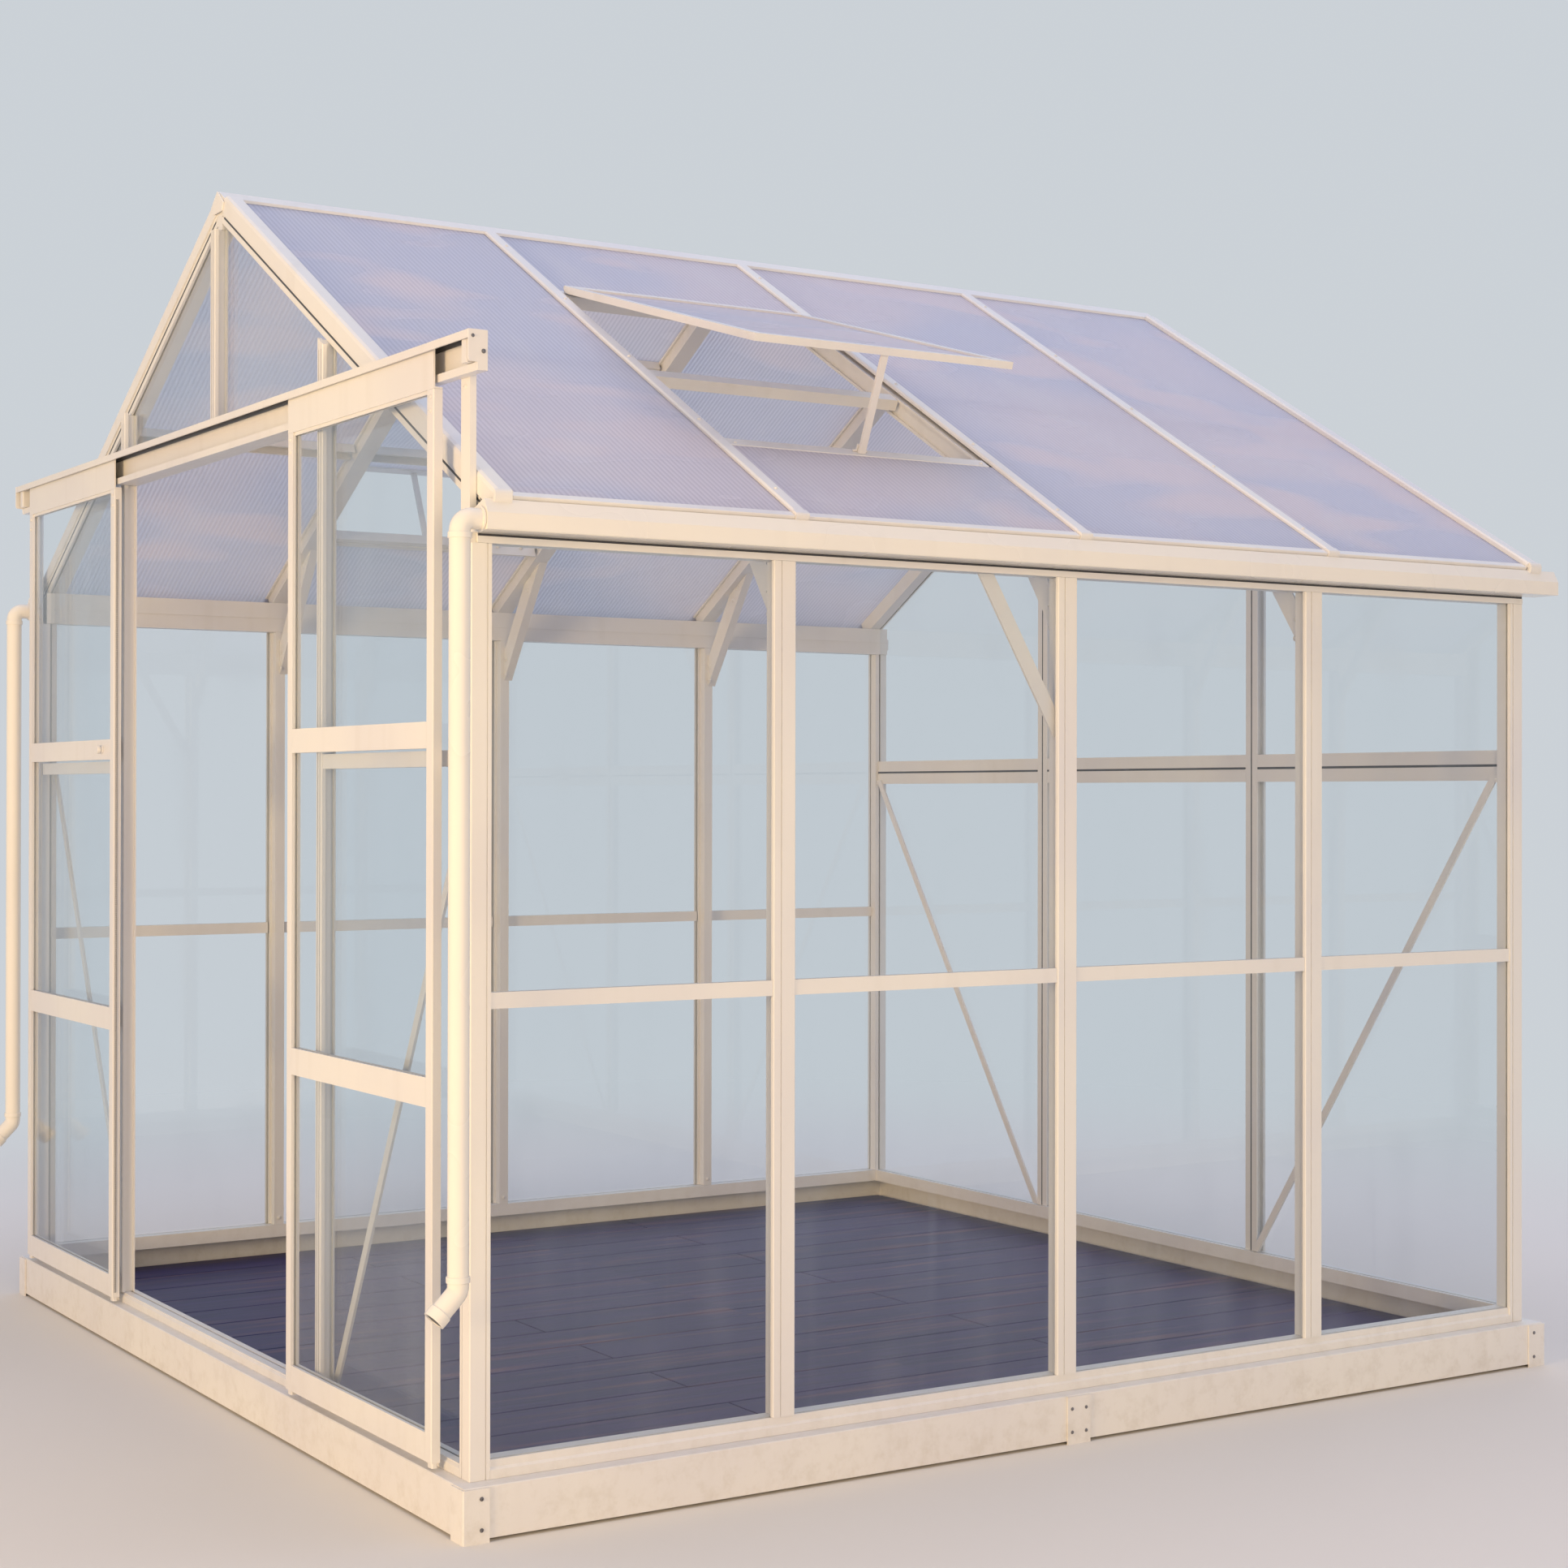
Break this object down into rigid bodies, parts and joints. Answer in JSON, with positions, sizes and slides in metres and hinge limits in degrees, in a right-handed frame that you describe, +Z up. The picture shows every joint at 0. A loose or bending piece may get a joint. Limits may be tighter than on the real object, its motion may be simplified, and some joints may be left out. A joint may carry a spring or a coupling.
{
  "type": "glass greenhouse",
  "caption": "Walk-in gable greenhouse with clear glazed walls, ribbed roof sheets, propped roof vents and top-hung double sliding doors on a metal base frame",
  "frame": {"origin": "centre of the floor plan, on the flat underside of the floor deck at ground level", "axes": "+Z up, +Y along the ridge towards the rear gable, the doors face -Y, +X to the right seen from the doors"},
  "size_m": [2.4886, 2.517, 2.3561],
  "materials": {
    "frame": "white powder coat",
    "glass": "clear float glass",
    "roof_sheet": "translucent twin-wall sheet",
    "deck": "dark stained planks",
    "rain_goods": "white",
    "roller": "nylon"
  },
  "bodies": {
    "frame": {"base_rails": "frame", "base_brackets": "frame", "floor_deck": "deck", "side_sills": "frame", "end_sills": "frame", "corner_posts": "frame", "side_posts": "frame", "side_rails": "frame", "eave_beams": "frame", "ridge_beam": "frame", "roof_bars": "frame", "gable_rafters": "frame", "cross_bars": "frame", "roof_sheets_right": "roof_sheet", "roof_sheets_left": "roof_sheet", "roof_caps": "frame", "ridge_cap": "frame", "vent_frames": "frame", "vent_sheets": "roof_sheet", "vent_props": "frame", "knee_braces": "frame", "front_studs": "frame", "track_uprights": "frame", "front_rails": "frame", "rear_studs": "frame", "rear_rails": "frame", "gable_braces": "frame", "right_wall_glass": "glass", "left_wall_glass": "glass", "front_glass": "glass", "rear_glass": "glass", "door_track": "frame", "gutters": "rain_goods", "downpipes": "rain_goods"},
    "right_door": {"right_door_stiles": "frame", "right_door_rails": "frame", "right_door_header": "frame", "right_door_glass": "glass", "right_door_rollers": "roller"},
    "left_door": {"left_door_stiles": "frame", "left_door_rails": "frame", "left_door_header": "frame", "left_door_glass": "glass", "left_door_rollers": "roller", "left_door_knob": "frame"}
  },
  "joints": [
    {"name": "right_door_slide", "type": "slide", "parent": "frame", "child": "right_door", "axis": [1, 0, 0], "range_m": [-0.463, 0.08]},
    {"name": "left_door_slide", "type": "slide", "parent": "frame", "child": "left_door", "axis": [1, 0, 0], "range_m": [-0.022, 0.523]}
  ]
}
